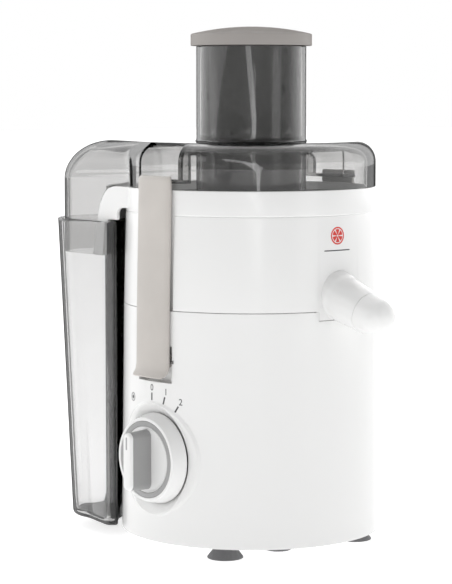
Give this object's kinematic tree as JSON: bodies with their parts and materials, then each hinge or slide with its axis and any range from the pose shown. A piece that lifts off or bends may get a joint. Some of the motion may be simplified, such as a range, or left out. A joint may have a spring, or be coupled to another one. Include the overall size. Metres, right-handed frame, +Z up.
{
  "type": "centrifugal juicer",
  "caption": "Round column juicer with a wide feed tube and pusher, a front spout, a speed knob, side locking clamps and a clear pulp container hung behind the column.",
  "frame": {"origin": "on the table, under the middle of the object's bounding box", "axes": "+Z up along the motor shaft; the spout points to -Y, the speed knob to -X and the pulp container to +Y"},
  "size_m": [0.2192, 0.2826, 0.372],
  "materials": {
    "white_gloss": "moulded gloss white",
    "smoke_clear": "smoke tinted clear plastic",
    "warm_grey": "satin warm grey plastic",
    "light_taupe": "satin light taupe plastic",
    "grey_plastic": "mid grey plastic",
    "foot_rubber": "grey rubber",
    "black_plastic": "black moulded plastic",
    "steel": "bright steel",
    "lamination": "laminated core steel",
    "copper": "enamelled copper winding"
  },
  "bodies": {
    "motor_unit": {"motor_housing": "white_gloss", "base_plate": "white_gloss", "suction_foot_1": "foot_rubber", "suction_foot_2": "foot_rubber", "suction_foot_3": "foot_rubber", "suction_foot_4": "foot_rubber", "suction_foot_5": "foot_rubber", "base_screw_1": "steel", "base_screw_2": "steel", "base_screw_3": "steel", "base_screw_4": "steel", "cord_gland": "black_plastic", "motor_stator": "lamination", "field_coil_front": "copper", "field_coil_back": "copper", "motor_bracket_upper": "steel", "motor_bracket_lower": "steel", "motor_bearing_upper": "steel", "motor_bearing_lower": "steel", "motor_mount_left": "foot_rubber", "motor_mount_right": "foot_rubber", "motor_pillar_left": "steel", "motor_pillar_right": "steel", "brush_holder_left": "black_plastic", "brush_holder_right": "black_plastic", "shaft_seal": "foot_rubber", "rotary_switch": "black_plastic", "safety_switch": "black_plastic", "clamp_pin_left": "steel", "clamp_pin_right": "steel"},
    "rotor": {"motor_shaft": "steel", "armature": "copper", "commutator": "copper", "cooling_fan": "black_plastic", "drive_coupling": "black_plastic"},
    "knob": {"control_knob": "white_gloss", "knob_ring": "grey_plastic", "knob_grip": "white_gloss", "knob_shaft": "steel"},
    "left_clamp": {"clamp_left": "light_taupe"},
    "right_clamp": {"clamp_right": "light_taupe"},
    "collector": {"juice_collector": "white_gloss"},
    "spout_end": {"spout_tip": "white_gloss"},
    "basket": {"basket_frame": "smoke_clear", "basket_strainer": "steel", "basket_rim": "smoke_clear", "grater_disc": "steel"},
    "lid": {"cover": "smoke_clear"},
    "pusher": {"pusher_body": "grey_plastic", "pusher_cap": "warm_grey"},
    "container": {"pulp_container": "smoke_clear"}
  },
  "joints": [
    {"name": "rotor_spin", "type": "hinge", "parent": "motor_unit", "child": "rotor", "pos_m": [0.00819, -0.00174, 0.1], "axis": [0, 0, 1], "continuous": true},
    {"name": "basket_spin", "type": "hinge", "parent": "collector", "child": "basket", "pos_m": [0.00819, -0.00174, 0.2], "axis": [0, 0, 1], "continuous": true},
    {"name": "knob_turn", "type": "hinge", "parent": "motor_unit", "child": "knob", "pos_m": [-0.08181, -0.00174, 0.0685], "axis": [1, 0, 0], "range_deg": [-32, 34]},
    {"name": "left_clamp_swing", "type": "hinge", "parent": "motor_unit", "child": "left_clamp", "pos_m": [-0.08141, -0.00174, 0.138], "axis": [0, -1, 0], "range_deg": [0, 25]},
    {"name": "right_clamp_swing", "type": "hinge", "parent": "motor_unit", "child": "right_clamp", "pos_m": [0.09779, -0.00174, 0.138], "axis": [0, 1, 0], "range_deg": [0, 25]},
    {"name": "collector_lift", "type": "slide", "parent": "motor_unit", "child": "collector", "axis": [0, 0, 1], "range_m": [0, 0.09]},
    {"name": "spout_end_turn", "type": "hinge", "parent": "collector", "child": "spout_end", "pos_m": [0.00819, -0.09404, 0.183], "axis": [0, -0.9483, -0.3173], "range_deg": [0, 180]},
    {"name": "cover_lift", "type": "slide", "parent": "collector", "child": "lid", "axis": [0, 0, 1], "range_m": [0, 0.07]},
    {"name": "pusher_lift", "type": "slide", "parent": "lid", "child": "pusher", "axis": [0, 0, 1], "range_m": [0, 0.15]},
    {"name": "pulp_container_tilt", "type": "hinge", "parent": "motor_unit", "child": "container", "pos_m": [0.00819, 0.09826, 0.218], "axis": [1, 0, 0], "range_deg": [0, 8]}
  ],
  "couplings": [
    {"joint": "basket_spin", "follows": "rotor_spin", "ratio": 1}
  ]
}
